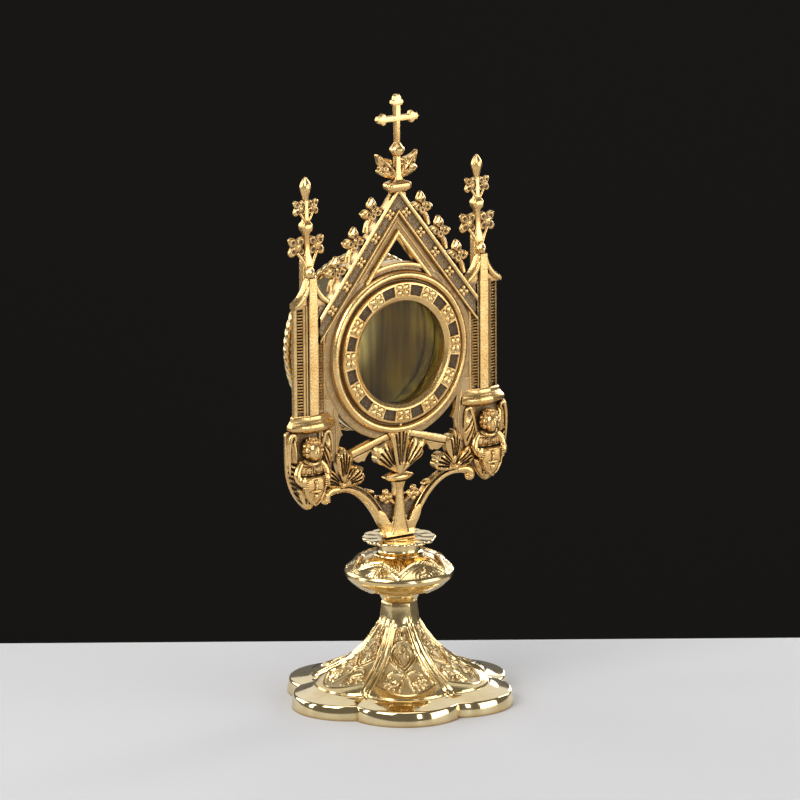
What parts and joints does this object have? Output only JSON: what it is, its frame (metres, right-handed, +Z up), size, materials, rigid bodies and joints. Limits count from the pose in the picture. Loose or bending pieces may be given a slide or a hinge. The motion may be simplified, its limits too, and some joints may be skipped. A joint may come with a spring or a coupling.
{
  "type": "standing reliquary",
  "caption": "Standing Gothic reliquary: lobed foot, knop, gabled tracery front with kneeling angels and pinnacles, round glazed window and a hollow drum behind with a lift-off cover.",
  "frame": {"origin": "centre of the foot's underside, on the surface it stands on", "axes": "+Z up, the glazed front faces -Y, +X to the right of a person facing the front"},
  "size_m": [0.133, 0.1108, 0.305],
  "materials": {
    "brass": "polished and lacquered with dark recesses",
    "glass": "clear polished"
  },
  "bodies": {
    "root": {"foot": "brass", "knop": "brass", "collar_disc": "brass", "facade": "brass", "drum": "brass", "back_cover": "brass", "window_glass": "glass"}
  },
  "joints": []
}
